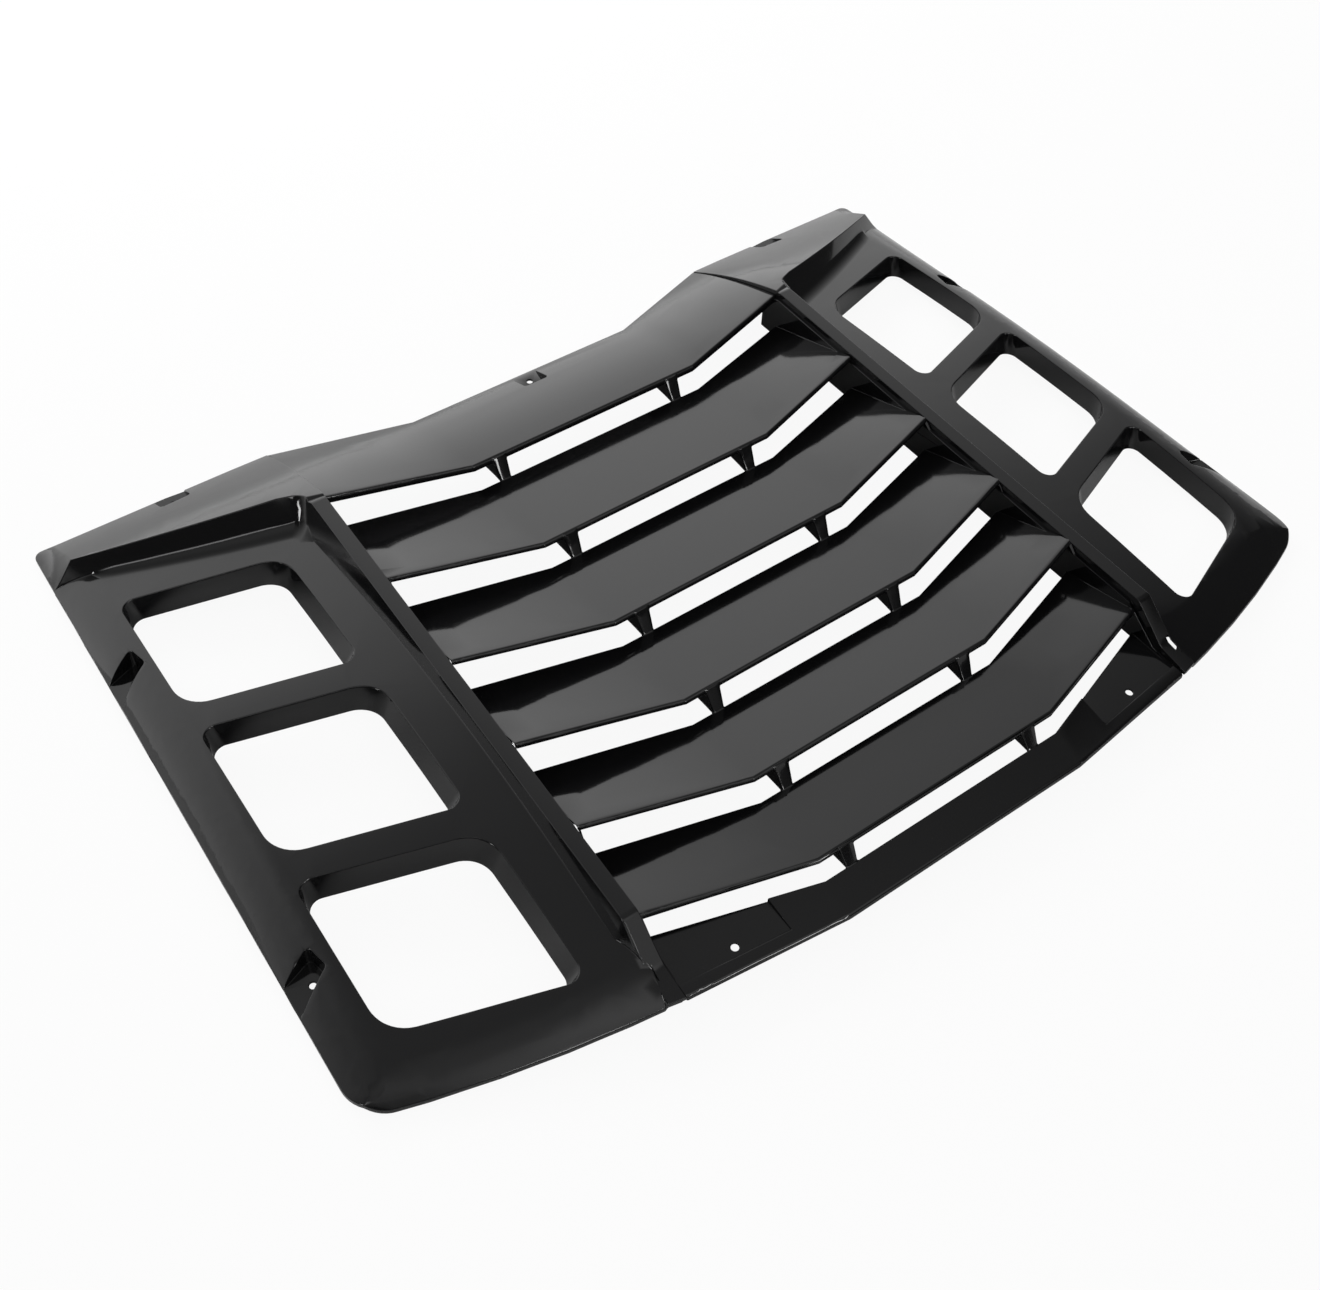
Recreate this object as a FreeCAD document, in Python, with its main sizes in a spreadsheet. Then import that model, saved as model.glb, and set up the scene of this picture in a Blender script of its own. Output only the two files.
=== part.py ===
import FreeCAD, Part
import math
import os
from FreeCAD import Vector

# Rear window louver of glossy black plastic: a centre panel with slats and two side panels
# with windows, joined by screws hidden under the two raised rails.
# Local frame: X across the car, Y towards the roof, Z up. Y = 0 is the tail corner of the
# side panels and Z = 0 is the height of their outer edge.

os.makedirs("parts", exist_ok=True)
doc = FreeCAD.newDocument("rear_window_louver")
sheet = doc.addObject("Spreadsheet::Sheet", "sizes")

SIZES = [
    # whole object
    ("wall", 3.0), ("edge_return", 6.5), ("half_width", 620.0), ("side_taper", 0.035),
    ("roof_corner_y", 793.0), ("roof_corner_radius", 10.0), ("tail_corner_y", 7.0), ("tail_bow", 106.0),
    ("tail_power", 2.28),
    # rails
    ("rail_half_gap", 326.5), ("rail_splay", 0.0201), ("rail_top_width", 17.0),
    ("rail_roof_y", 604.0), ("rail_roof_z", 94.0), ("rail_tail_y", 5.0), ("rail_tail_z", 72.0),
    ("rail_foot_y", -38.0), ("rail_foot_z", 37.0), ("rail_wall_draft", 0.5), ("rail_wall_depth", 44.0),
    # roof band of a side panel
    ("band_seam_y", 771.0), ("band_seam_z", 21.0), ("band_seam_mid_y", 706.0), ("band_seam_mid_z", 56.0),
    ("ridge_end_x", 567.0), ("ridge_end_y", 723.0), ("ridge_end_z", 39.0),
    ("ridge_start_x", 358.0), ("ridge_start_y", 637.0), ("ridge_start_z", 87.0),
    ("ridge_start_lean", 1.04), ("ridge_end_lean", 0.52), ("recess_corner_radius", 26.0),
    ("band_end_inset", 17.0), ("band_run_on", 90.0), ("band_overhang", 15.0),
    # floor of a side panel
    ("shoulder_half", 566.6), ("shoulder_taper", 0.0265), ("shoulder_z", 42.0), ("floor_slope", 0.1345),
    ("floor_arch", 24.0), ("arch_centre_y", 375.0), ("arch_reach", 400.0), ("edge_z", 10.0), ("edge_arch", 7.0), ("tail_margin", 56.0),
    ("tail_seam_z", 28.5), ("tail_corner_z", 1.0), ("tail_corner_radius", 46.0),
    # windows of a side panel
    ("window_pitch", 209.5), ("window_length", 175.0), ("window_roof_y", 646.0), ("window_slant", 0.378),
    ("window_inner_margin", 68.0), ("window_depth", 28.0), ("window_inner_draft", 10.0),
    ("window_roof_draft", 7.5), ("window_outer_draft", 3.0), ("window_wide_radius", 38.0),
    ("window_tight_radius", 13.0),
    # slats of the centre panel
    ("fold_half", 152.0), ("first_trailing_y", 563.0), ("first_pitch", 143.0), ("pitch_step", 10.8),
    ("trailing_sweep", 0.28), ("leading_sweep", 0.31), ("slot_plan_gap", 11.5), ("slot_rise", 20.0),
    ("trailing_z", 76.0), ("trailing_sag", 8.0), ("trailing_lift", 5.0), ("leading_dip", 11.0),
    ("tail_drop", 11.0), ("slat_lip", 7.0), ("lip_radius", 3.5),
    ("roof_edge_y", 705.0), ("roof_edge_z", 42.0), ("band_bulge", 5.0),
    ("tail_plate_z", 38.5), ("tail_edge_z", 29.0), ("tail_edge_y", 95.0), ("tail_seam_y", 74.0),
    # ribs between the slats
    ("rib_inner", 97.0), ("rib_outer", 142.0), ("rib_front", 17.0), ("rib_depth", 34.0),
    ("rib_toe", 6.0), ("rib_radius", 3.0),
    # mounting pockets
    ("pocket_width", 32.0), ("centre_pocket_length", 34.0), ("centre_pocket_lift", 2.0),
    ("pocket_depth", 4.0), ("mount_hole", 7.0), ("tail_hole", 8.0),
    ("tail_hole_x", 261.0), ("tail_hole_y", -58.0), ("tail_recess_x", 208.0), ("tail_recess_rim", 14.0),
    ("side_hole_roof_y", 553.0), ("side_hole_tail_y", 140.0), ("side_hole_inset", 24.0),
    ("roof_hole_x", 432.0), ("roof_hole_inset", 12.0), ("centre_hole_inset", 18.0),
    # seam joints under the rails
    ("screw_diameter", 5.0), ("screw_length", 16.0), ("screw_head_diameter", 9.5), ("screw_head_height", 3.0),
    ("screw_clearance", 0.5), ("seam_clearance", 0.6), ("flange_below_rail", 9.0),
    ("washer_diameter", 15.0), ("washer_thickness", 1.2),
    ("nut_across_flats", 8.0), ("nut_height", 4.0), ("joint_set_back", 24.0), ("joint_below_slat", 20.0),
]
for row, (alias, value) in enumerate(SIZES, start=1):
    sheet.set("A%d" % row, alias.replace("_", " "))
    sheet.set("B%d" % row, str(value))
    sheet.setAlias("B%d" % row, alias)
doc.recompute()
S = {alias: float(sheet.get(alias)) for alias, _ in SIZES}

WALL = S["wall"]
FAR = 260.0          # height or depth well clear of the object
ROOF_SIDE = 850.0    # Y well beyond the roof edge
TAIL_SIDE = -150.0   # Y well beyond the tail edge
RUN_OUT = 12.0       # length by which a rolled surface runs on past its edge
PANEL_REACH = 345.0  # X where the centre panel's sections end, outside the rails' inner faces


def rounded_wire(points, radii):
    """Closed wire through points, each corner rounded by its own radius (0 keeps it sharp)."""
    edges = []
    count = len(points)
    starts, ends, mids = [], [], []
    for i, (corner, radius) in enumerate(zip(points, radii)):
        if radius == 0:
            starts.append(corner)
            ends.append(corner)
            mids.append(None)
            continue
        back = (points[i - 1] - corner).normalize()
        ahead = (points[(i + 1) % count] - corner).normalize()
        half = back.getAngle(ahead) / 2
        reach = radius / math.tan(half)
        bisector = (back + ahead).normalize()
        centre = corner + bisector * (radius / math.sin(half))
        starts.append(corner + back * reach)
        ends.append(corner + ahead * reach)
        mids.append(centre - bisector * radius)
    for i in range(count):
        if mids[i] is not None:
            edges.append(Part.Arc(starts[i], mids[i], ends[i]).toShape())
        edges.append(Part.LineSegment(ends[i], starts[(i + 1) % count]).toShape())
    return Part.Wire(edges)


def loft(wires, ruled=True):
    solid = Part.makeLoft(wires, True, ruled)
    if solid.Volume < 0:
        solid.reverse()
    return solid


def yz_wire(x, points, radii):
    return rounded_wire([Vector(x, y, z) for y, z in points], radii)


def xz_wire(y, points, radii):
    return rounded_wire([Vector(x, y, z) for x, z in points], radii)


def plan_prism(points, radii, low=-FAR, high=FAR):
    wire = rounded_wire([Vector(x, y, low) for x, y in points], radii)
    return Part.Face(wire).extrude(Vector(0, 0, high - low))


def rail_inner_x(y):
    return S["rail_half_gap"] - S["rail_splay"] * y


def rail_top_z(y):
    rise = (S["rail_roof_z"] - S["rail_tail_z"]) / (S["rail_roof_y"] - S["rail_tail_y"])
    return S["rail_tail_z"] + rise * (y - S["rail_tail_y"])


def edge_x(y):
    return S["half_width"] - S["side_taper"] * y


def shoulder_x(y):
    return S["shoulder_half"] - S["shoulder_taper"] * y


def shoulder_z(y):
    return S["shoulder_z"] - S["floor_arch"] * ((y - S["arch_centre_y"]) / S["arch_reach"]) ** 2


def floor_z(x, y):
    return shoulder_z(y) + S["floor_slope"] * (shoulder_x(y) - x)


def tail_y(x):
    return S["tail_corner_y"] - S["tail_bow"] * (1 - (abs(x) / S["half_width"]) ** S["tail_power"])


def floor_solid(inset):
    """Solid under the side panel's floor, its surface lowered by the inset, with the rolled outer edge."""
    wires = []
    for y in (-140.0, 0.0, 250.0, 500.0, 700.0, 840.0):
        x_shoulder = shoulder_x(y)
        z_shoulder = shoulder_z(y) - inset
        x_edge = edge_x(y) - inset
        z_edge = S["edge_z"] - S["edge_arch"] * ((y - S["arch_centre_y"]) / S["arch_reach"]) ** 2 - inset * 0.4
        lean = math.atan(S["floor_slope"])
        chord_x = x_edge - x_shoulder
        chord_z = z_edge - z_shoulder
        chord = math.hypot(chord_x, chord_z)
        turn = 2 * (math.atan2(-chord_z, chord_x) - lean)
        bulge = chord / 2 * math.tan(turn / 4)
        mid = Vector((x_shoulder + x_edge) / 2 - chord_z / chord * bulge, y,
                     (z_shoulder + z_edge) / 2 + chord_x / chord * bulge)
        end_lean = lean + turn
        out_x = x_edge + RUN_OUT * math.cos(end_lean)
        out_z = z_edge - RUN_OUT * math.sin(end_lean)
        inner_x = rail_inner_x(y) - 20
        inner_z = z_shoulder + S["floor_slope"] * (x_shoulder - inner_x)
        corner = [Vector(inner_x, y, inner_z), Vector(x_shoulder, y, z_shoulder), Vector(x_edge, y, z_edge),
                  Vector(out_x, y, out_z), Vector(out_x, y, -FAR), Vector(inner_x, y, -FAR)]
        wires.append(Part.Wire([
            Part.LineSegment(corner[0], corner[1]).toShape(),
            Part.Arc(corner[1], mid, corner[2]).toShape(),
            Part.LineSegment(corner[2], corner[3]).toShape(),
            Part.LineSegment(corner[3], corner[4]).toShape(),
            Part.LineSegment(corner[4], corner[5]).toShape(),
            Part.LineSegment(corner[5], corner[0]).toShape()]))
    return loft(wires, ruled=False).common(tail_roll(inset))


def tail_roll(inset):
    """Solid that rolls the side panel's floor down to its tail edge."""
    wires = []
    for x, margin, slope in ((rail_inner_x(0) - 40, S["tail_margin"] + 44, 0.22), (450.0, S["tail_margin"] + 6, 0.1),
                             (540.0, S["tail_margin"], 0.1), (S["half_width"] + 30, S["tail_margin"], 0.1)):
        y_edge = tail_y(x) + inset
        y_start = tail_y(x) + margin
        along = (x - S["rail_half_gap"]) / (S["half_width"] - S["rail_half_gap"])
        z_edge = S["tail_seam_z"] + (S["tail_corner_z"] - S["tail_seam_z"]) * along - inset * 0.4
        z_start = floor_z(min(x, shoulder_x(y_start)), y_start) - inset
        z_roof = z_start + slope * (840 - y_start)
        lean = math.atan(slope)
        chord_y = y_start - y_edge
        chord_z = z_start - z_edge
        chord = math.hypot(chord_y, chord_z)
        turn = 2 * (math.atan2(chord_z, chord_y) - lean)
        bulge = chord / 2 * math.tan(turn / 4)
        mid = Vector(x, (y_start + y_edge) / 2 - chord_z / chord * bulge,
                     (z_start + z_edge) / 2 + chord_y / chord * bulge)
        end_lean = lean + turn
        out_y = y_edge - RUN_OUT * math.cos(end_lean)
        out_z = z_edge - RUN_OUT * math.sin(end_lean)
        points = [Vector(x, 840, z_roof), Vector(x, y_start, z_start), Vector(x, y_edge, z_edge),
                  Vector(x, out_y, out_z), Vector(x, out_y, -FAR - 5), Vector(x, 840, -FAR - 5)]
        wires.append(Part.Wire([
            Part.LineSegment(points[0], points[1]).toShape(),
            Part.Arc(points[1], mid, points[2]).toShape(),
            Part.LineSegment(points[2], points[3]).toShape(),
            Part.LineSegment(points[3], points[4]).toShape(),
            Part.LineSegment(points[4], points[5]).toShape(),
            Part.LineSegment(points[5], points[0]).toShape()]))
    return loft(wires, ruled=False)


def rail_solid(inset):
    """Bar whose top follows the rail and falls in a curved facet to the tail edge."""
    drop = inset * 1.1
    profile = [(640, -FAR), (640, rail_top_z(640) - 18 - drop), (S["rail_roof_y"], S["rail_roof_z"] - drop),
               (S["rail_tail_y"] + drop * 0.4, S["rail_tail_z"] - drop),
               (S["rail_foot_y"] + drop * 0.4, S["rail_foot_z"] - drop),
               (-110, S["tail_seam_z"] - 4 - drop), (-110, -FAR)]
    wire = yz_wire(rail_inner_x(800) - 30, profile, [0, 0, 12, 14, 26, 0, 0])
    return Part.Face(wire).extrude(Vector(85, 0, 0))


def band_solid(inset):
    """Roof band of the side panel, falling from the rail out to its corner."""
    drop = inset * 1.12
    # X of each section, then the (y, z) of its roof edge, of its middle and of its end at the ridge
    stations = [
        (300.0, (S["band_seam_y"], S["band_seam_z"]), (S["band_seam_mid_y"], S["band_seam_mid_z"]),
         (S["rail_roof_y"], S["rail_roof_z"] + 1)),
        (S["ridge_start_x"], (775.0, 18.0), (714.0, 53.0), (625.0, 91.5)),
        (S["ridge_end_x"], (788.0, 5.0), (757.0, 23.0), (690.0, 56.0)),
        (S["half_width"] - S["band_end_inset"], (S["roof_corner_y"] + 2, 1.0),
         (757.0, -4.0), (690.0, -13.0)),
    ]
    wires = []
    for x, top, mid, end in stations:
        side = inset if x > S["ridge_end_x"] else 0
        down = drop + (inset * 0.6 if x > S["ridge_end_x"] else 0)
        slope = (mid[1] - top[1]) / (top[0] - mid[0])
        over = S["band_overhang"]
        top = (top[0] + over, top[1] - over * slope)
        points = [Vector(x - side, y, z - down) for y, z in (top, mid, end)]
        back_y = end[0] - S["band_run_on"]
        run_out = Vector(x - side, back_y, points[2].z - 25)
        foot = [Vector(x - side, back_y, -FAR), Vector(x - side, top[0], -FAR)]
        wires.append(Part.Wire([
            Part.Arc(points[0], points[1], points[2]).toShape(),
            Part.LineSegment(points[2], run_out).toShape(),
            Part.LineSegment(run_out, foot[0]).toShape(),
            Part.LineSegment(foot[0], foot[1]).toShape(),
            Part.LineSegment(foot[1], points[0]).toShape()]))
    return loft(wires)


def recess_tool(offset):
    """Void over the floor: it leaves the rail wall and the drop wall of the roof band."""
    outer_x = S["half_width"] + 140
    rail_wires = []
    for y, reference in ((-160.0, S["tail_seam_z"] - 6), (S["rail_foot_y"], S["rail_foot_z"]),
                         (S["rail_tail_y"], S["rail_tail_z"]), (860.0, rail_top_z(860.0))):
        top_x = rail_inner_x(y) + S["rail_top_width"] - offset * 1.1
        low_x = top_x + (reference + FAR) * S["rail_wall_draft"]
        high_x = top_x + (reference - FAR) * S["rail_wall_draft"]
        rail_wires.append(xz_wire(y, [(high_x, FAR), (low_x, -FAR), (outer_x, -FAR), (outer_x, FAR)], [0, 0, 0, 0]))
    rail_side = loft(rail_wires)
    band_wires = []
    span = S["ridge_end_x"] - S["ridge_start_x"]
    for x in (180.0, outer_x):
        along = (x - S["ridge_start_x"]) / span
        low_start = S["ridge_start_y"] - S["ridge_start_z"] * S["ridge_start_lean"]
        low_end = S["ridge_end_y"] - S["ridge_end_z"] * S["ridge_end_lean"]
        high_start = low_start + 100 * S["ridge_start_lean"]
        high_end = low_end + 100 * S["ridge_end_lean"]
        zero_y = low_start + (low_end - low_start) * along + offset * 1.3
        hundred_y = high_start + (high_end - high_start) * along + offset * 1.3
        lean = (hundred_y - zero_y) / 100
        band_wires.append(yz_wire(x, [(zero_y - 120 * lean, -120), (zero_y + 150 * lean, 150),
                                      (-180, 150), (-180, -120)], [0, 0, 0, 0]))
    band_side = loft(band_wires)
    tool = rail_side.common(band_side)
    corner = [edge for edge in tool.Edges
              if abs(edge.CenterOfMass.x - 355) < 60 and 540 < edge.CenterOfMass.y < 720 and edge.Length > 200]
    return tool.makeFillet(S["recess_corner_radius"] + offset, corner[:1])


def side_outline(inset):
    """Plan outline of a side panel."""
    roof_x = edge_x(S["roof_corner_y"])
    points = [(rail_inner_x(S["band_seam_y"] - inset) + inset, S["band_seam_y"] - inset),
              (roof_x - inset, S["roof_corner_y"] - inset),
              (edge_x(0) - inset, S["tail_corner_y"] + inset * 0.8)]
    tail = [(x, tail_y(x) + inset) for x in (560.0, 500.0, 440.0, 380.0)]
    seam_tail_y = tail_y(S["rail_half_gap"]) + inset
    points += tail + [(rail_inner_x(seam_tail_y) + inset, seam_tail_y)]
    radii = [0, S["roof_corner_radius"] - inset * 0.9, S["tail_corner_radius"] - inset] + [0] * 5
    return plan_prism(points, radii)


def window_wires(index, grow):
    """Outline wires of one window's void: above the floor and below its flange."""
    roof_y = S["window_roof_y"] - index * S["window_pitch"]
    tail = roof_y - S["window_length"]

    def corner(x, y, up, inner, roof, outer):
        """Corner in the tilted floor plane, moved by the draft of the two walls that meet there."""
        return Vector(x + inner - outer, y + S["window_slant"] * (inner - outer) - roof, floor_z(x, y) + up)

    def ring(up):
        depth = -up / S["window_depth"]
        inner = S["window_inner_draft"] * depth - grow
        roof = S["window_roof_draft"] * depth - grow * 1.07
        outer = S["window_outer_draft"] * depth - grow
        outer_roof_x = shoulder_x(roof_y) + 1
        outer_tail_x = shoulder_x(tail) + 1
        inner_roof_x = rail_inner_x(roof_y) + S["window_inner_margin"]
        inner_tail_x = rail_inner_x(tail) + S["window_inner_margin"]
        drop_roof = S["window_slant"] * (outer_roof_x - inner_roof_x)
        drop_tail = S["window_slant"] * (outer_tail_x - inner_tail_x)
        points = [corner(outer_roof_x, roof_y, up, 0, roof, outer),
                  corner(inner_roof_x, roof_y - drop_roof, up, inner, roof, 0),
                  corner(inner_tail_x, tail - drop_tail, up, inner, -outer, 0)]
        points.append(points[0] + points[2] - points[1])
        taper = 8 * depth
        wide = S["window_wide_radius"] + grow
        tight = S["window_tight_radius"] + grow
        return rounded_wire(points, [tight, wide - min(taper, 8), tight, wide - min(taper, 8)])

    reach = S["window_depth"] * 1.6
    return [ring(reach), ring(-reach)]


def side_form(inset):
    """Filled form of a side panel: rail and roof band raised round the recessed floor."""
    raised = rail_solid(inset).fuse(band_solid(inset)).cut(recess_tool(inset))
    return raised.fuse(floor_solid(inset).common(recess_tool(inset + 1.5)))


def seam_wall_underside():
    """Region under the inner wall that faces the centre panel; it runs out at both ends."""
    drop = S["edge_return"]
    profile = [(-150, S["tail_seam_z"] - drop), (S["rail_foot_y"], S["rail_foot_z"] - drop - 3),
               (S["rail_tail_y"] + 12, S["rail_tail_z"] - S["rail_wall_depth"]),
               (S["rail_roof_y"], S["rail_roof_z"] - S["rail_wall_depth"]),
               (S["band_seam_mid_y"], S["band_seam_mid_z"] - 24), (S["band_seam_y"], S["band_seam_z"] - drop),
               (860, -30), (860, -FAR), (-150, -FAR)]
    wire = yz_wire(rail_inner_x(860) - 20, profile, [0] * len(profile))
    return Part.Face(wire).extrude(Vector(60, 0, 0))


def pocket_prisms(points, floor_height):
    """Void over a sunk mounting plate and the lined block that the plate and its walls are left from."""
    centre = Vector(sum(x for x, y in points) / len(points), sum(y for x, y in points) / len(points), 0)
    void = plan_prism(points, [5, 5, 0, 0], floor_height, FAR)
    grown = Part.Face(rounded_wire([Vector(x, y, floor_height - WALL) for x, y in points], [5, 5, 0, 0]))
    wide = Part.Face(grown.OuterWire.makeOffset2D(WALL)).extrude(Vector(0, 0, FAR))
    return void, wide


def side_pockets():
    """Mounting pockets of a side panel as (hole centre, plate height, plan corners)."""
    flare = [(-11, 25), (-16, -1.5), (50, -36.8), (50, 1.1)]
    places = []
    for hole_y in (S["side_hole_roof_y"], S["side_hole_tail_y"]):
        hole_x = edge_x(hole_y) - S["side_hole_inset"]
        height = S["edge_z"] - S["edge_arch"] * ((hole_y - S["arch_centre_y"]) / S["arch_reach"]) ** 2
        places.append((hole_x, hole_y, height, [(hole_x + x, hole_y + y) for x, y in flare]))
    hole_x = S["roof_hole_x"]
    along = (hole_x - S["rail_half_gap"]) / (S["half_width"] - S["rail_half_gap"])
    roof_y = S["band_seam_y"] + (S["roof_corner_y"] - S["band_seam_y"]) * along
    height = S["band_seam_z"] * (1 - along)
    half = S["pocket_width"] / 2 + 2
    depth = 2 * S["roof_hole_inset"]
    places.append((hole_x, roof_y - S["roof_hole_inset"], height,
                   [(hole_x + half, roof_y - depth), (hole_x - half, roof_y - depth),
                    (hole_x - half, roof_y + 25), (hole_x + half, roof_y + 25)]))
    return places


def side_panel():
    form = side_form(0)
    hollow = side_form(WALL)
    lowered = form.copy()
    lowered.translate(Vector(0, 0, -S["edge_return"]))
    holes = []
    for hole_x, hole_y, height, corners in side_pockets():
        void, lined = pocket_prisms(corners, height)
        form = form.cut(void)
        hollow = hollow.cut(lined)
        lowered = lowered.cut(lined)
        holes.append(Part.makeCylinder(S["mount_hole"] / 2, 60, Vector(hole_x, hole_y, height - 30)))
    shell = form.common(side_outline(0)).cut(hollow.common(side_outline(WALL)))
    skirt = side_outline(-6).cut(side_outline(WALL + 0.5))
    wall_clear = WALL + 0.5
    roof_x, tail_x = rail_inner_x(ROOF_SIDE), rail_inner_x(TAIL_SIDE)
    seam_zone = plan_prism([(roof_x - 12, ROOF_SIDE), (roof_x + wall_clear, ROOF_SIDE),
                            (tail_x + wall_clear, TAIL_SIDE), (tail_x - 12, TAIL_SIDE)], [0] * 4)
    shell = shell.cut(skirt.cut(seam_zone).common(lowered))
    shell = shell.cut(seam_zone.common(seam_wall_underside()))
    for hole in holes + joint_holes(1):
        shell = shell.cut(hole)
    top_skin = floor_solid(WALL / 2)
    below = floor_solid(0)
    below.translate(Vector(0, 0, -S["window_depth"]))
    slab = top_skin.cut(below)
    for index in range(3):
        void = loft(window_wires(index, 0))
        ring = loft(window_wires(index, WALL)).cut(void)
        shell = shell.cut(void).fuse(ring.common(slab))
    return shell


def trailing_point(row, x):
    """Lower edge of the lip of a trailing edge: y and z at x."""
    y_fold = S["first_trailing_y"] - S["first_pitch"] * row + S["pitch_step"] * row * (row - 1) / 2
    out = max(0.0, (abs(x) - S["fold_half"]) / (rail_inner_x(y_fold) - S["fold_half"]))
    back = max(0.0, (S["first_trailing_y"] - S["first_pitch"] - y_fold) / 370)
    z = S["trailing_z"] - S["trailing_sag"] * back ** 2 + S["trailing_lift"] * out
    if row == 5:
        z -= S["tail_drop"] + S["trailing_lift"] * out
    return y_fold + S["trailing_sweep"] * max(0.0, abs(x) - S["fold_half"]), z


def leading_point(row, x):
    """Top of the leading edge that lies below a trailing edge: y and z at x."""
    y_trail, z_trail = trailing_point(row, S["fold_half"])
    over = max(0.0, abs(x) - S["fold_half"])
    out = over / (rail_inner_x(y_trail) - S["fold_half"])
    if row == 5:
        return y_trail - S["slot_plan_gap"] + S["leading_sweep"] * over, S["tail_plate_z"] - 4.5 * out
    return (y_trail - S["slot_plan_gap"] + S["leading_sweep"] * over,
            z_trail - S["slot_rise"] - S["leading_dip"] * out)


def slat(row):
    """Slat from the leading edge under one row to the trailing edge of the next."""
    wires = []
    for x in (-PANEL_REACH, -S["fold_half"], S["fold_half"], PANEL_REACH):
        y_lead, z_lead = leading_point(row, x)
        y_trail, z_trail = trailing_point(row + 1, x)
        z_top = z_trail + S["slat_lip"]
        thick = WALL * 1.03
        points = [(y_lead, z_lead), (y_trail, z_top), (y_trail, z_trail), (y_trail + WALL, z_trail),
                  (y_trail + WALL, z_top - thick - 0.6), (y_lead, z_lead - thick)]
        wires.append(yz_wire(x, points, [0, S["lip_radius"], 0, 0, 0.5, 0]))
    return loft(wires)


def roof_band():
    """Roof band of the centre panel with its edge return and trailing lip."""
    def section(x, inset, drop, spread):
        y_trail, z_trail = trailing_point(0, x)
        over = max(0.0, abs(x) - S["fold_half"]) / (rail_inner_x(S["band_seam_y"]) - S["fold_half"])
        y_roof = S["roof_edge_y"] + (S["band_seam_y"] - S["roof_edge_y"]) * over
        z_roof = S["roof_edge_z"] + (S["band_seam_z"] - S["roof_edge_z"]) * over
        z_top = z_trail + S["slat_lip"]
        y0, z0 = y_roof - inset + spread, z_roof - inset - drop
        y1, z1 = y_trail + inset - spread, z_top - inset - drop
        run, rise = y0 - y1, z1 - z0
        chord = math.hypot(run, rise)
        bulge = S["band_bulge"]
        mid = ((y0 + y1) / 2 + rise / chord * bulge, (z0 + z1) / 2 + run / chord * bulge)
        turn = 4 * math.atan(2 * bulge / chord)
        lean = math.atan2(rise, run) - turn / 2
        radius = S["lip_radius"] - inset * 0.6
        reach = radius * math.tan((math.pi / 2 + lean) / 2)
        y_arc, z_arc = y1 + reach * math.cos(lean), z1 - reach * math.sin(lean)
        centre = (y_arc - radius * math.sin(lean), z_arc - radius * math.cos(lean))
        half = (math.pi / 2 + lean) / 2
        angle = math.pi / 2 - lean + half
        round_mid = (centre[0] + radius * math.cos(angle), centre[1] + radius * math.sin(angle))
        y_end, z_end = centre[0] - radius, centre[1]
        v = [Vector(x, y0, z0), Vector(x, y_arc, z_arc), Vector(x, y_end, z_end),
             Vector(x, y_end, -FAR), Vector(x, y0, -FAR)]
        return Part.Wire([
            Part.Arc(v[0], Vector(x, *mid), v[1]).toShape(),
            Part.Arc(v[1], Vector(x, *round_mid), v[2]).toShape(),
            Part.LineSegment(v[2], v[3]).toShape(),
            Part.LineSegment(v[3], v[4]).toShape(),
            Part.LineSegment(v[4], v[0]).toShape()])

    stations = (-PANEL_REACH, -S["fold_half"], S["fold_half"], PANEL_REACH)
    solid = loft([section(x, 0, 0, 0) for x in stations])
    hollow = loft([section(x, WALL, 0, 0) for x in stations])
    below = loft([section(x, 0, S["slat_lip"], 12) for x in stations])
    half = S["pocket_width"] / 2
    roof = S["roof_edge_y"]
    back = roof - S["centre_pocket_length"]
    front = roof + 20
    floor = S["roof_edge_z"] + S["centre_pocket_lift"]
    pocket = plan_prism([(-half, back), (half, back), (half, front), (-half, front)], [4, 4, 0, 0], floor, FAR)
    wide = half + WALL
    liner = plan_prism([(-wide, back - WALL), (wide, back - WALL), (wide, front), (-wide, front)],
                       [4 + WALL, 4 + WALL, 0, 0], floor - WALL, FAR)
    hole = Part.makeCylinder(S["mount_hole"] / 2, 60, Vector(0, roof - S["centre_hole_inset"], floor - 30))
    return solid.cut(pocket).cut(hollow.cut(liner)).cut(below.cut(liner)).cut(hole)


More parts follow.
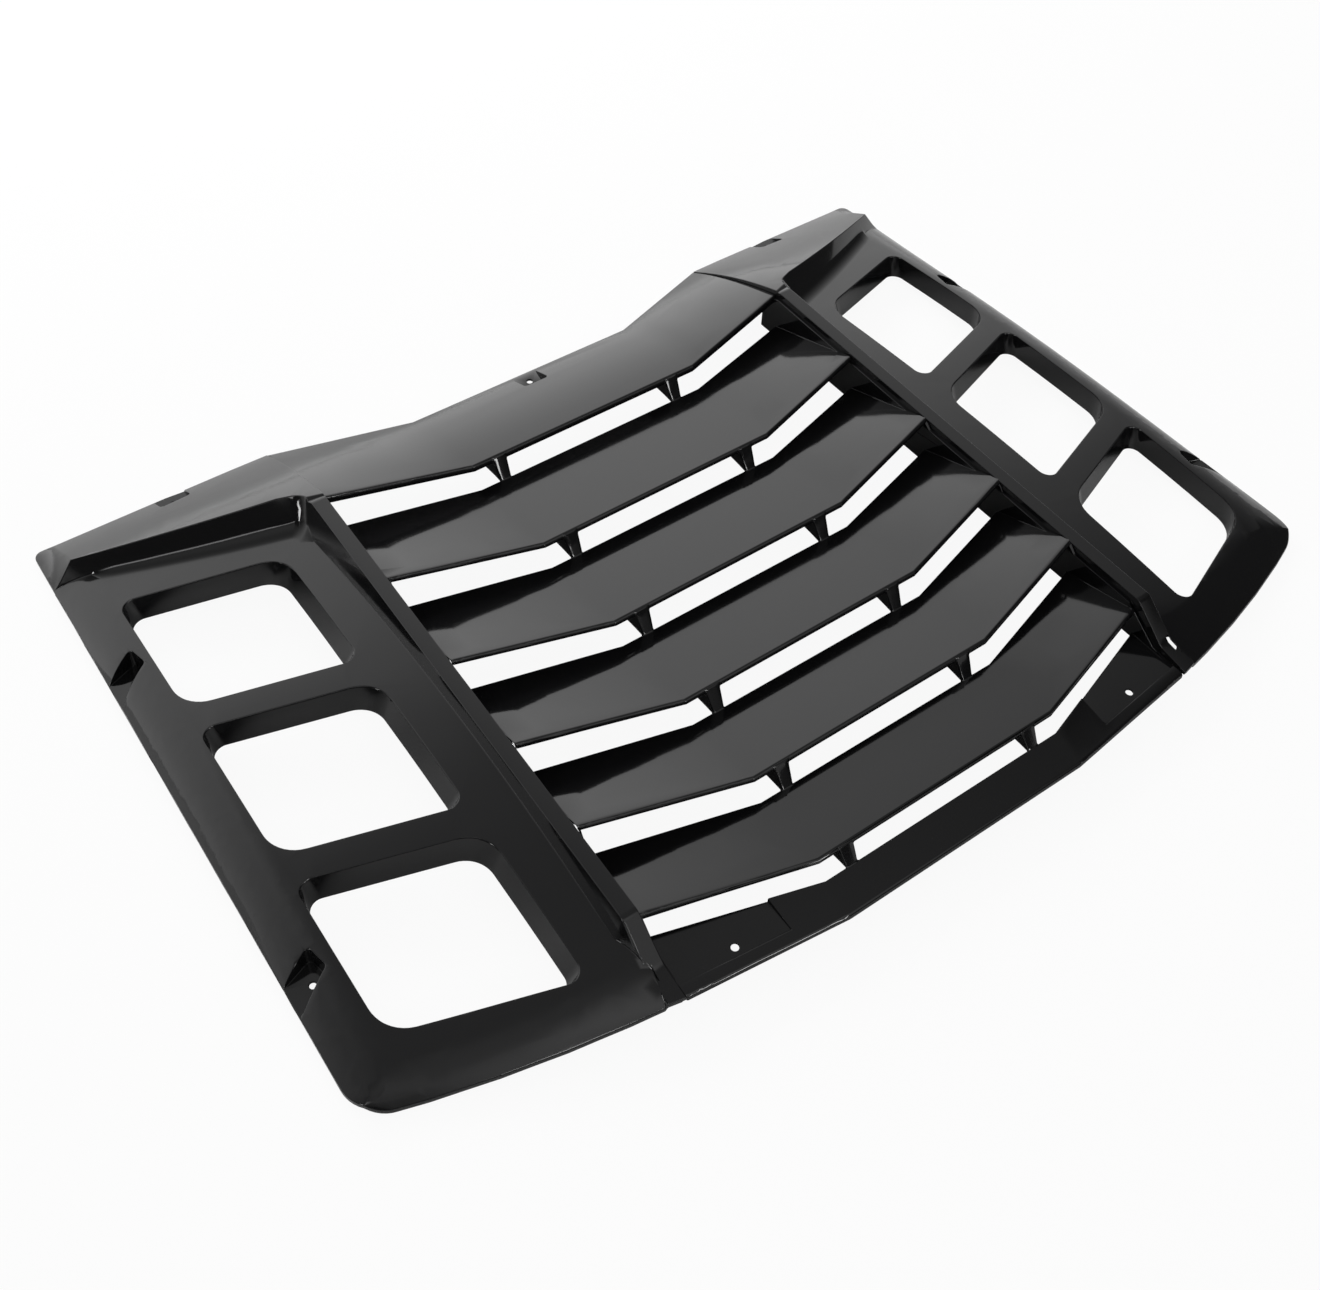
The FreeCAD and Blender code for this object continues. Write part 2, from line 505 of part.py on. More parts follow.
def tail_band():
    """Tail band: plate under the last slot, rolled down to the tail edge, with two sunk mounting fields."""
    def section(x, inset, drop, spread):
        y_lead, z_lead = leading_point(5, x)
        over = max(0.0, abs(x) - S["fold_half"]) / (S["rail_half_gap"] - S["fold_half"])
        y_edge = -S["tail_edge_y"] + (S["tail_edge_y"] - S["tail_seam_y"]) * over
        z_edge = S["tail_edge_z"] + (S["tail_seam_z"] - S["tail_edge_z"]) * over
        lead = y_lead + (30 if (inset or spread) else 0)
        slope = (z_lead - z_edge) / (y_lead - y_edge)
        points = [(lead, z_lead + slope * (lead - y_lead) - inset * 1.05 - drop),
                  (y_edge + inset - spread, z_edge - inset * 1.05 - drop + slope * (inset - spread)),
                  (y_edge + inset - spread, -FAR), (lead, -FAR)]
        return yz_wire(x, points, [0, 5 - inset, 0, 0])

    stations = (-PANEL_REACH, -S["fold_half"], S["fold_half"], PANEL_REACH)
    solid = loft([section(x, 0, 0, 0) for x in stations])
    hollow = loft([section(x, WALL, 0, 0) for x in stations])
    below = loft([section(x, 0, S["edge_return"], 12) for x in stations])
    band = solid
    for side in (-1, 1):
        band = band.cut(sunk_field(side, 0))
        lined = sunk_field(side, WALL)
        hollow = hollow.cut(lined)
        below = below.cut(lined)
    band = band.cut(hollow).cut(below)
    for side in (-1, 1):
        hole = Part.makeCylinder(S["tail_hole"] / 2, 80, Vector(side * S["tail_hole_x"], S["tail_hole_y"], 0))
        band = band.cut(hole)
    return band


def sunk_field(side, grow):
    """Void over one sunk mounting field of the tail band."""
    inner = S["tail_recess_x"]
    outer = S["rail_half_gap"] + 30
    wires = []
    for x in (inner - grow, outer):
        y_lead, z_lead = leading_point(5, x)
        over = (x - S["fold_half"]) / (S["rail_half_gap"] - S["fold_half"])
        y_rim = -S["tail_edge_y"] + (S["tail_edge_y"] - S["tail_seam_y"]) * over + S["tail_recess_rim"]
        z_floor = z_lead - S["pocket_depth"] - grow * 1.02
        wires.append(yz_wire(side * x, [(y_lead + 60, FAR), (y_rim - grow, FAR), (y_rim - grow, z_floor - 3),
                                        (y_lead + 60, z_floor)], [0, 0, 0, 0]))
    return loft(wires)


def rib(row, side):
    """Post that ties a trailing edge to the slat below it: a narrow rounded front that widens backwards."""
    y_trail, z_trail = trailing_point(row, 0)
    y_lead, z_lead = leading_point(row, 0)
    if row == 0:
        fall_above = (z_trail + S["slat_lip"] - S["roof_edge_z"]) / (S["roof_edge_y"] - y_trail)
    else:
        y_above, z_above = leading_point(row - 1, 0)
        fall_above = (z_trail + S["slat_lip"] - z_above) / (y_above - y_trail)
    y_next, z_next = trailing_point(row + 1, 0) if row < 5 else (-S["tail_edge_y"], S["tail_edge_z"] - S["slat_lip"])
    rise_below = (z_next + S["slat_lip"] - z_lead) / (y_lead - y_next)
    sink = WALL / 2
    top = z_trail + S["slat_lip"] - sink
    front_y = y_trail + 0.4
    foot_y = y_lead - S["rib_toe"]
    back_y = y_trail + S["rib_depth"]
    profile = [(front_y, top), (back_y, top - fall_above * S["rib_depth"]), (y_lead + 1, z_lead - sink),
               (foot_y, z_lead + rise_below * S["rib_toe"] - sink)]
    blade = Part.Face(yz_wire(-WALL - S["rib_outer"], profile, [0] * 4)).extrude(Vector(2 * S["rib_outer"] + 9, 0, 0))
    middle = (S["rib_inner"] + S["rib_outer"]) / 2
    back_half = (S["rib_outer"] - S["rib_inner"]) / 2
    rings = []
    for height, front, narrow in ((top, front_y, 1.0), (z_lead - 8, foot_y, 0.72)):
        half = S["rib_front"] / 2 * narrow
        spread = back_half * narrow
        corners = [Vector(side * middle - half, front, height), Vector(side * middle + half, front, height),
                   Vector(side * middle + spread, back_y, height), Vector(side * middle - spread, back_y, height)]
        rings.append(rounded_wire(corners, [S["rib_radius"], S["rib_radius"], 0, 0]))
    return loft(rings).common(blade)


def centre_outline(clearance):
    """Plan outline between the rails."""
    roof_x = rail_inner_x(ROOF_SIDE) - clearance
    tail_x = rail_inner_x(TAIL_SIDE) - clearance
    return plan_prism([(-tail_x, TAIL_SIDE), (tail_x, TAIL_SIDE), (roof_x, ROOF_SIDE), (-roof_x, ROOF_SIDE)],
                      [0] * 4)


def side_flange(side):
    """Upright flange along the rail that carries the slat ends and takes the seam screws."""
    drop = S["flange_below_rail"]
    profile = [(628, 30), (628, 78), (S["rail_roof_y"] - 4, rail_top_z(600) - drop), (14, rail_top_z(14) - drop),
               (-30, 32), (-62, 26), (-62, 14), (0, 22)]
    wire = yz_wire(285, profile, [0] * len(profile))
    plate = Part.Face(wire).extrude(Vector(60, 0, 0))
    strip = plan_prism([(rail_inner_x(ROOF_SIDE) - WALL, ROOF_SIDE), (rail_inner_x(ROOF_SIDE), ROOF_SIDE),
                        (rail_inner_x(TAIL_SIDE), TAIL_SIDE), (rail_inner_x(TAIL_SIDE) - WALL, TAIL_SIDE)], [0] * 4)
    plate = plate.common(strip)
    if side < 0:
        plate = plate.mirror(Vector(0, 0, 0), Vector(1, 0, 0))
    return plate


def joint_frames(side):
    """Seam joints of one side as (point on the seam face, direction out of the car's middle)."""
    outward = Vector(side, S["rail_splay"], 0).normalize()
    frames = []
    for row in range(1, 5):
        y_trail, z_trail = trailing_point(row, S["rail_half_gap"] - 13)
        y = y_trail + S["joint_set_back"]
        frames.append((Vector(side * rail_inner_x(y), y, z_trail - S["joint_below_slat"]), outward))
    return frames


def joint_holes(side):
    radius = (S["screw_diameter"] + S["screw_clearance"]) / 2
    return [Part.makeCylinder(radius, 4 * WALL, point - outward * (2 * WALL), outward)
            for point, outward in joint_frames(side)]


def centre_panel():
    body = roof_band()
    for row in range(5):
        body = body.fuse(slat(row))
    body = body.fuse(tail_band())
    body = body.common(centre_outline(S["seam_clearance"]))
    for side in (-1, 1):
        for row in range(6):
            body = body.fuse(rib(row, side))
        body = body.fuse(side_flange(side))
        for hole in joint_holes(side):
            body = body.cut(hole)
    return body


def add_piece(label, shape):
    piece = doc.addObject("Part::Feature", label)
    piece.Label = label
    piece.Shape = shape
    piece.Placement = FreeCAD.Placement(SEAT, FreeCAD.Rotation())
    return piece


CENTRE_Y = (S["roof_corner_y"] - S["tail_edge_y"]) / 2
centre_shape = centre_panel()
side_shape = side_panel()
lowest = min(point.z for edge in side_shape.Edges for point in edge.discretize(12))
SEAT = Vector(0, -CENTRE_Y, -lowest)

pieces = [add_piece("centre_louver_panel", centre_shape)]
right = add_piece("right_side_panel", side_shape)
pieces.append(right)
left = doc.addObject("Part::Mirroring", "left_side_panel")
left.Label = "left_side_panel"
left.Source = right
left.Base = Vector(0, 0, 0)
left.Normal = Vector(1, 0, 0)
pieces.append(left)


def bound(kind, name, **sizes):
    """Primitive whose sizes are expressions of the sheet."""
    item = doc.addObject(kind, name)
    for key, expression in sizes.items():
        item.setExpression(key, expression)
    return item


def combine(kind, name, **links):
    item = doc.addObject(kind, name)
    for key, value in links.items():
        setattr(item, key, value)
    return item


head = bound("Part::Cylinder", "screw_head", Radius="sizes.screw_head_diameter / 2",
             Height="sizes.screw_head_height")
head.setExpression("Placement.Base.z", "-sizes.screw_head_height")
shank = bound("Part::Cylinder", "screw_shank", Radius="sizes.screw_diameter / 2",
              Height="sizes.screw_length - 1")
tip = bound("Part::Cone", "screw_tip", Radius1="sizes.screw_diameter / 2", Radius2="sizes.screw_diameter / 2 - 1",
            Height="1")
tip.setExpression("Placement.Base.z", "sizes.screw_length - 1")
solid_screw = combine("Part::MultiFuse", "screw_solid", Shapes=[head, shank, tip])
socket = bound("Part::Prism", "screw_socket", Circumradius="sizes.screw_diameter * 0.35",
               Height="sizes.screw_head_height")
socket.setExpression("Placement.Base.z", "-sizes.screw_head_height * 1.4")
screw = combine("Part::Cut", "screw", Base=solid_screw, Tool=socket)
disc = bound("Part::Cylinder", "washer_disc", Radius="sizes.washer_diameter / 2", Height="sizes.washer_thickness")
bore = bound("Part::Cylinder", "washer_bore", Radius="(sizes.screw_diameter + sizes.screw_clearance) / 2",
             Height="sizes.washer_thickness")
washer = combine("Part::Cut", "washer", Base=disc, Tool=bore)
hexagon = bound("Part::Prism", "nut_hexagon", Circumradius="sizes.nut_across_flats / 1.7320508",
                Height="sizes.nut_height")
thread = bound("Part::Cylinder", "nut_bore", Radius="sizes.screw_diameter / 2", Height="sizes.nut_height")
nut = combine("Part::Cut", "nut", Base=hexagon, Tool=thread)
doc.recompute()

STACK = [("seam_screw", screw, -WALL - S["washer_thickness"]),
         ("seam_head_washer", washer, -WALL - S["washer_thickness"]),
         ("seam_nut_washer", washer, WALL),
         ("seam_nut", nut, WALL + S["washer_thickness"])]
for side_name, side in (("left", -1), ("right", 1)):
    for number, (point, outward) in enumerate(joint_frames(side), start=1):
        turn = FreeCAD.Rotation(Vector(0, 0, 1), outward)
        for stem, source, offset in STACK:
            shape = source.Shape.copy()
            piece = add_piece("%s_%s_%d" % (stem, side_name, number), shape)
            piece.Placement = FreeCAD.Placement(SEAT + point + outward * offset, turn)
            pieces.append(piece)
doc.recompute()

for piece in pieces:
    if "Invalid" in piece.State or "Error" in piece.State:
        raise RuntimeError(piece.Label + " failed to build")
    if piece.Shape.isNull() or not piece.Shape.isValid():
        raise RuntimeError(piece.Label + " has no valid shape")
    piece.Shape.exportStep("parts/" + piece.Label + ".step")
print(len(pieces), "pieces, lowest point lifted by", round(SEAT.z, 3))
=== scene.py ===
"""Finishes the rear window louver of the CAD frame and sets it in a pale studio."""
import math

import bmesh
import bpy
from mathutils import Euler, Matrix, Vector
from mathutils.bvhtree import BVHTree


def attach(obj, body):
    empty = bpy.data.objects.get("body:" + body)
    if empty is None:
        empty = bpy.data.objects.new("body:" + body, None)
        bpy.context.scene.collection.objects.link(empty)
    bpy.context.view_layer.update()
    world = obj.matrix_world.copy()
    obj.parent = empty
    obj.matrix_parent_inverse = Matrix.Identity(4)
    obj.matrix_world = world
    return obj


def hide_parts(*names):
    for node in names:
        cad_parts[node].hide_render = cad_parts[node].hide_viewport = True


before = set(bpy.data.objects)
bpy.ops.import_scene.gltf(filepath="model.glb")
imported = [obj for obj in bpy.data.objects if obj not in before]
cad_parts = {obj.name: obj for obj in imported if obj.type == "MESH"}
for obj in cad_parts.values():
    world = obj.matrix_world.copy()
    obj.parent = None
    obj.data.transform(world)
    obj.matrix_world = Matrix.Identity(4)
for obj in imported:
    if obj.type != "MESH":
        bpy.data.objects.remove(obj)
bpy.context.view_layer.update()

bl_info = {
    "name": "Rear Window Louver",
    "version": (1, 0, 0),
    "blender": (4, 5, 0),
    "location": "View3D > Sidebar > Louver",
    "description": "Finishes a moulded rear window louver and sets it in a pale studio",
    "category": "Object",
}

FASTENER_STEMS = ("seam_screw", "seam_head_washer", "seam_nut_washer", "seam_nut")

# How a panel's mesh is cleaned and its edges are rounded. All lengths here are in metres.
MERGE_DISTANCE = 0.00002
FLAT_ANGLE = math.radians(0.4)
ROUNDED_ANGLE = math.radians(28.0)
ROUNDING_SEGMENTS = 2
SMOOTH_ANGLE = math.radians(40.0)
LEAST_TRIANGLE_AREA = 1e-10

# When the rounding has thrown a corner or a long edge off the sharp form, counted in radii.
THROWN_DISTANCE = 0.6
LONG_EDGE = 3.0
EDGE_SAMPLES = (0.25, 0.5, 0.75)
SETTLING_PASSES = 6

# Creases at the foot of the roof band's drop wall: how far they fold, how much the wall and the
# floor beside them face up, and where they lie across the car and towards the roof.
FOOT_FOLD = math.radians(40.0)
FOOT_WALL_UPWARD = (0.3, 0.8)
FOOT_FLOOR_UPWARD = 0.9
FOOT_ACROSS = (0.34, 0.55)
FOOT_TOWARDS_ROOF = (0.24, 0.37)
FOOT_SEGMENTS = 6

# The handled skin: grey of its dust, and how much a full haze adds to the roughness.
DUST_COLOUR = (0.12, 0.12, 0.115, 1.0)
HAZE_ROUGHNESS = 0.16

# Small round lights that leave glints on the rounded edges: degrees round from +X, degrees over
# the horizon and spread in degrees. The rim is where a light starts, as a share of its spread.
GLINT_SPOTS = ((-78.0, 13.0, 5.0), (-104.0, 40.0, 5.0), (178.0, 20.0, 4.0))
GLINT_RIM = 1.15

# Soft lights of the room: the setting with its strength, the direction it stands in, the cosines
# to that direction at which it starts and is full, and the degrees over the horizon between which
# it fades in and out, where it does.
SOFT_LIGHTS = (
    ("bank_strength", (0.0, 1.0, 0.0), (0.05, 0.95), None, (78.0, 46.0)),
    ("near_strength", (-0.6, -0.8, 0.0), (0.0, 0.5), (40.0, 60.0), (86.0, 74.0)),
    ("front_strength", (0.1, -0.75, 0.65), (0.83, 0.96), None, None),
    ("strip_strength", (-0.87, -0.5, 0.0), (0.6, 0.66), (44.0, 46.5), (51.0, 48.5)),
)
# Degrees over the horizon between which the dim room goes over into its ceiling.
CEILING_RISE = (42.0, 72.0)

# Lamps that light the floor and the plastic without a reflection: place, aim, size and watts.
LAMPS = {
    "overhead_lamp": ((0.3, 0.2, 3.2), (0.0, 0.0, 0.0), (2.6, 2.6), 13.0),
    "floor_sweep_lamp": ((0.5, 2.6, 1.5), (0.5, 1.9, 0.0), (3.4, 1.0), 90.0),
}

FLOOR_SIZE = 9.0
FLOOR_DROP = 0.0005
FLOOR_GRAIN_SCALE = 60.0
FLOOR_GRAIN_SHADE = 0.97
SENSOR_WIDTH = 36.0


class LouverPlasticSettings(bpy.types.PropertyGroup):
    """Finish of the moulded black panels."""

    colour: bpy.props.FloatVectorProperty(
        name="Plastic colour", description="Colour of the black plastic under its gloss",
        subtype="COLOR", size=3, min=0.0, max=1.0, default=(0.004, 0.004, 0.0043))
    roughness: bpy.props.FloatProperty(
        name="Roughness", description="Roughness of the polished skin",
        subtype="FACTOR", min=0.0, max=1.0, default=0.07)
    haze: bpy.props.FloatProperty(
        name="Haze", description="How much handling haze dulls the gloss in patches",
        subtype="FACTOR", min=0.0, max=1.0, default=0.35)
    edge_radius: bpy.props.FloatProperty(
        name="Edge radius", description="How far back the mould rounds each sharp edge",
        subtype="DISTANCE", unit="LENGTH", min=0.0, default=0.0011)
    foot_width: bpy.props.FloatProperty(
        name="Wall foot width",
        description="How far the fillet at the foot of the side panels' drop walls reaches",
        subtype="DISTANCE", unit="LENGTH", min=0.0, default=0.012)
    ripple_height: bpy.props.FloatProperty(
        name="Ripple height",
        description="Height of the shallow ripple that moulding leaves in the skin",
        subtype="DISTANCE", unit="LENGTH", min=0.0, default=0.00012)


class LouverSteelSettings(bpy.types.PropertyGroup):
    """Finish of the seam screws, washers and nuts."""

    colour: bpy.props.FloatVectorProperty(
        name="Zinc colour", description="Colour of the zinc plating",
        subtype="COLOR", size=3, min=0.0, max=1.0, default=(0.55, 0.56, 0.57))
    roughness: bpy.props.FloatProperty(
        name="Roughness", description="Roughness of the zinc plating",
        subtype="FACTOR", min=0.0, max=1.0, default=0.34)


class LouverStudioSettings(bpy.types.PropertyGroup):
    """Camera, floor and lights of the studio."""

    camera_place: bpy.props.FloatVectorProperty(
        name="Camera place", description="Where the camera stands",
        subtype="TRANSLATION", unit="LENGTH", size=3, default=(-0.77492, -0.92948, 1.33491))
    camera_turn: bpy.props.FloatVectorProperty(
        name="Camera turn", description="How the camera is turned",
        subtype="EULER", unit="ROTATION", size=3,
        default=(math.radians(39.735), math.radians(-1.753), math.radians(-36.003)))
    lens: bpy.props.FloatProperty(
        name="Lens", description="Focal length in millimetres on a 36 mm wide sensor",
        min=10.0, default=43.636)
    floor_colour: bpy.props.FloatVectorProperty(
        name="Floor colour", description="Colour of the pale floor",
        subtype="COLOR", size=3, min=0.0, max=1.0, default=(0.6, 0.6, 0.6))
    floor_lift: bpy.props.FloatProperty(
        name="Floor lift",
        description="How far the floor is lifted to white where the camera sees it",
        subtype="FACTOR", min=0.0, max=1.0, default=0.93)
    bank_strength: bpy.props.FloatProperty(
        name="Light bank strength",
        description="Brightness of the long light bank beyond the roof edge",
        min=0.0, default=1.6)
    near_strength: bpy.props.FloatProperty(
        name="Near light strength",
        description="Brightness of the high soft light on the camera's side",
        min=0.0, default=0.2)
    front_strength: bpy.props.FloatProperty(
        name="Front light strength",
        description="Brightness of the soft light before the tail edge",
        min=0.0, default=0.7)
    spot_strength: bpy.props.FloatProperty(
        name="Spot strength",
        description="Brightness of the small round lights that leave the glints",
        min=0.0, default=14.0)
    strip_strength: bpy.props.FloatProperty(
        name="Strip strength",
        description="Brightness of the narrow strip that lights the rounded edges",
        min=0.0, default=4.0)
    room_strength: bpy.props.FloatProperty(
        name="Room strength", description="Brightness of the dim room round the object",
        min=0.0, default=0.06)
    ceiling_strength: bpy.props.FloatProperty(
        name="Ceiling strength", description="Brightness straight above the object",
        min=0.0, default=0.32)


def new_material(name):
    """Material with one Principled shader; returns the material, its tree and the shader."""
    material = bpy.data.materials.new(name)
    material.use_nodes = True
    tree = material.node_tree
    return material, tree, tree.nodes["Principled BSDF"]


def add_node(tree, kind, sockets=None, **values):
    """New node with its own values set first and then the values of its input sockets."""
    node = tree.nodes.new(kind)
    for key, value in values.items():
        setattr(node, key, value)
    for socket, value in (sockets or {}).items():
        node.inputs[socket].default_value = value
    return node


def calculate(tree, operation, *parts):
    """Result of a Math node on parts that are each an output socket or a number."""
    node = add_node(tree, "ShaderNodeMath", operation=operation)
    for socket, part in zip(node.inputs, parts):
        if isinstance(part, bpy.types.NodeSocket):
            tree.links.new(part, socket)
        else:
            socket.default_value = part
    return node.outputs["Value"]


def handled_skin_group():
    """Node group for a handled surface: its hazed roughness, dusted colour and ripple height."""
    group = bpy.data.node_groups.new("Handled Skin", "ShaderNodeTree")
    for name, kind in (("Patch Scale", "Float"), ("Ripple Scale", "Float"),
                       ("Roughness", "Float"), ("Haze", "Float"),
                       ("Colour", "Color"), ("Dust Colour", "Color")):
        group.interface.new_socket(name, in_out="INPUT", socket_type="NodeSocket" + kind)
    for name, kind in (("Skin Colour", "Color"), ("Skin Roughness", "Float"),
                       ("Ripple", "Float")):
        group.interface.new_socket(name, in_out="OUTPUT", socket_type="NodeSocket" + kind)
    source = group.nodes.new("NodeGroupInput")
    sink = group.nodes.new("NodeGroupOutput")
    place = group.nodes.new("ShaderNodeTexCoord")

    patches = add_node(group, "ShaderNodeTexNoise", {"Detail": 5.0, "Roughness": 0.6},
                       noise_dimensions="3D")
    patch_mask = add_node(group, "ShaderNodeMapRange", {"From Min": 0.42, "From Max": 0.75},
                          clamp=True)
    specks = add_node(group, "ShaderNodeTexNoise", {"Scale": 900.0, "Detail": 2.0},
                      noise_dimensions="3D")
    speck_mask = add_node(group, "ShaderNodeMapRange",
                          {"From Min": 0.66, "From Max": 0.8, "To Max": 0.5}, clamp=True)
    tint = add_node(group, "ShaderNodeMix", data_type="RGBA")
    ripple = add_node(group, "ShaderNodeTexNoise", {"Detail": 1.0, "Roughness": 0.4},
                      noise_dimensions="3D")

    link = group.links.new
    for texture in (patches, specks, ripple):
        link(place.outputs["Object"], texture.inputs["Vector"])
    link(source.outputs["Patch Scale"], patches.inputs["Scale"])
    link(source.outputs["Ripple Scale"], ripple.inputs["Scale"])
    link(patches.outputs["Fac"], patch_mask.inputs["Value"])
    link(specks.outputs["Fac"], speck_mask.inputs["Value"])
    haze = calculate(group, "MULTIPLY", patch_mask.outputs["Result"], source.outputs["Haze"])
    rough = calculate(group, "MULTIPLY_ADD", haze, HAZE_ROUGHNESS, source.outputs["Roughness"])
    dust = calculate(group, "MULTIPLY", speck_mask.outputs["Result"], haze)
    link(dust, tint.inputs["Factor"])
    link(source.outputs["Colour"], tint.inputs["A"])
    link(source.outputs["Dust Colour"], tint.inputs["B"])
    link(tint.outputs["Result"], sink.inputs["Skin Colour"])
    link(rough, sink.inputs["Skin Roughness"])
    link(ripple.outputs["Fac"], sink.inputs["Ripple"])
    return group


def skin_material(name, colour, roughness, haze, ripple_height, patch_scale, ripple_scale,
                  metallic=0.0):
    """Handled surface of one colour, its haze, dust and ripple taken from the shared group."""
    group = bpy.data.node_groups.get("Handled Skin") or handled_skin_group()
    material, tree, shader = new_material(name)
    skin = add_node(tree, "ShaderNodeGroup", {
        "Patch Scale": patch_scale, "Ripple Scale": ripple_scale, "Roughness": roughness,
        "Haze": haze, "Colour": (*colour, 1.0), "Dust Colour": DUST_COLOUR}, node_tree=group)
    bump = add_node(tree, "ShaderNodeBump", {"Distance": ripple_height})
    tree.links.new(skin.outputs["Skin Colour"], shader.inputs["Base Color"])
    tree.links.new(skin.outputs["Skin Roughness"], shader.inputs["Roughness"])
    tree.links.new(skin.outputs["Ripple"], bump.inputs["Height"])
    tree.links.new(bump.outputs["Normal"], shader.inputs["Normal"])
    shader.inputs["Metallic"].default_value = metallic
    return material


def gloss_black(settings):
    """The panels' black plastic, made once and shared by the three of them."""
    found = bpy.data.materials.get("Gloss Black Plastic")
    return found or skin_material(
        "Gloss Black Plastic", settings.colour, settings.roughness, settings.haze,
        settings.ripple_height, patch_scale=4.0, ripple_scale=9.0)


def finish(piece, material):
    """Gives a piece or a CAD node its one material."""
    piece.data.materials.clear()
    piece.data.materials.append(material)


def form_of(mesh):
    """Search tree of a mesh's triangles, without those too thin to have a side."""
    mesh.calc_loop_triangles()
    sound = [tuple(triangle.vertices) for triangle in mesh.loop_triangles
             if triangle.area > LEAST_TRIANGLE_AREA]
    return BVHTree.FromPolygons([corner.co for corner in mesh.vertices], sound)


def thrown_corners(mesh, places, form, radius):
    """Numbers of the corners that lie off the sharp form or end a long edge that does."""
    def is_off(place):
        return form.find_nearest(place)[3] > THROWN_DISTANCE * radius

    thrown = {index for index, place in enumerate(places) if is_off(place)}
    for edge in mesh.edges:
        start, end = [places[index] for index in edge.vertices]
        if (start - end).length > LONG_EDGE * radius and is_off((start + end) / 2):
            thrown.update(edge.vertices)
    return thrown


def settle_corners(mesh, form, radius):
    """Brings the few corners that the rounding threw off back beside their neighbours."""
    places = [corner.co.copy() for corner in mesh.vertices]
    thrown = thrown_corners(mesh, places, form, radius)
    linked = {index: [] for index in thrown}
    for edge in mesh.edges:
        for near, far in (edge.vertices, reversed(edge.vertices)):
            if near in thrown:
                linked[near].append(far)

    def stray(place, others):
        return sum(form.find_nearest(place.lerp(other, share))[3]
                   for other in others for share in EDGE_SAMPLES)

    for _ in range(SETTLING_PASSES):
        settled = {}
        for index in sorted(thrown):
            sound = [places[near] for near in linked[index] if near not in thrown]
            if sound:
                settled[index] = min(sound, key=lambda place: stray(place, sound))
        for index, place in settled.items():
            places[index] = place
        thrown -= set(settled)
    for corner, place in zip(mesh.vertices, places):
        corner.co = place


def is_wall_foot(edge):
    """Whether an edge is a crease between the roof band's drop wall and the recessed floor."""
    if len(edge.link_faces) != 2 or edge.calc_face_angle_signed(0.0) > -FOOT_FOLD:
        return False
    middle = (edge.verts[0].co + edge.verts[1].co) / 2
    wall, floor = sorted(face.normal.z for face in edge.link_faces)
    return (FOOT_WALL_UPWARD[0] < wall < FOOT_WALL_UPWARD[1] and floor > FOOT_FLOOR_UPWARD
            and FOOT_ACROSS[0] < abs(middle.x) < FOOT_ACROSS[1]
            and FOOT_TOWARDS_ROOF[0] < middle.y < FOOT_TOWARDS_ROOF[1])


def widen_wall_foot(piece, width):
    """Gives the foot of the drop wall its wide inner fillet; the piece is in edit mode."""
    form = bmesh.from_edit_mesh(piece.data)
    bpy.ops.mesh.select_all(action="DESELECT")
    for edge in form.edges:
        if is_wall_foot(edge):
            edge.select_set(True)
    bmesh.update_edit_mesh(piece.data)
    bpy.ops.mesh.bevel(offset=width, segments=FOOT_SEGMENTS, profile=0.5, affect="EDGES",
                       clamp_overlap=False)


def copy_of_node(name):
    """Copy of a CAD node with its place in its mesh, alone selected and active."""
    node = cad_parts[name]
    bpy.ops.object.select_all(action="DESELECT")
    piece = node.copy()
    piece.data = node.data.copy()
    piece.name = name + "_moulding"
    bpy.context.collection.objects.link(piece)
    piece.parent = None
    piece.matrix_world = node.matrix_world.copy()
    piece.select_set(True)
    bpy.context.view_layer.objects.active = piece
    bpy.ops.object.transform_apply(location=True, rotation=True, scale=True)
    bpy.ops.mesh.customdata_custom_splitnormals_clear()
    return piece


def round_edges(piece, radius):
    """Rounds every sharp edge of a piece, as a mould does."""
    rounding = piece.modifiers.new("Mould Rounding", "BEVEL")
    rounding.width = radius
    rounding.segments = ROUNDING_SEGMENTS
    rounding.limit_method = "ANGLE"
    rounding.angle_limit = ROUNDED_ANGLE
    rounding.use_clamp_overlap = False
    bpy.ops.object.modifier_apply(modifier=rounding.name)


def shade_moulding(piece):
    """Shades a rounded piece so that its flat faces look flat."""
    bpy.ops.object.shade_smooth_by_angle(angle=SMOOTH_ANGLE)
    weights = piece.modifiers.new("Flat Faces Stay Flat", "WEIGHTED_NORMAL")
    weights.keep_sharp = True
    bpy.ops.object.modifier_apply(modifier=weights.name)


def rounded_moulding(name, material, radius, foot_width=0.0):
    """Copy of a panel with its edges rounded as a mould leaves them; it takes the node's place.

    With a foot_width, the foot of the panel's drop wall first gets a fillet that wide.
    """
    piece = copy_of_node(name)
    bpy.ops.object.mode_set(mode="EDIT")
    bpy.ops.mesh.select_all(action="SELECT")
    bpy.ops.mesh.remove_doubles(threshold=MERGE_DISTANCE)
    bpy.ops.mesh.select_all(action="SELECT")
    bpy.ops.mesh.dissolve_limited(angle_limit=FLAT_ANGLE)
    if foot_width:
        widen_wall_foot(piece, foot_width)
    bpy.ops.object.mode_set(mode="OBJECT")
    bpy.ops.object.shade_smooth()
    # A fillet belongs to the sharp form that the rounded corners are held to.
    sharp_form = form_of(piece.data if foot_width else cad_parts[name].data)
    round_edges(piece, radius)
    settle_corners(piece.data, sharp_form, radius)
    shade_moulding(piece)
    finish(piece, material)
    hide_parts(name)
    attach(piece, "root")
    return piece


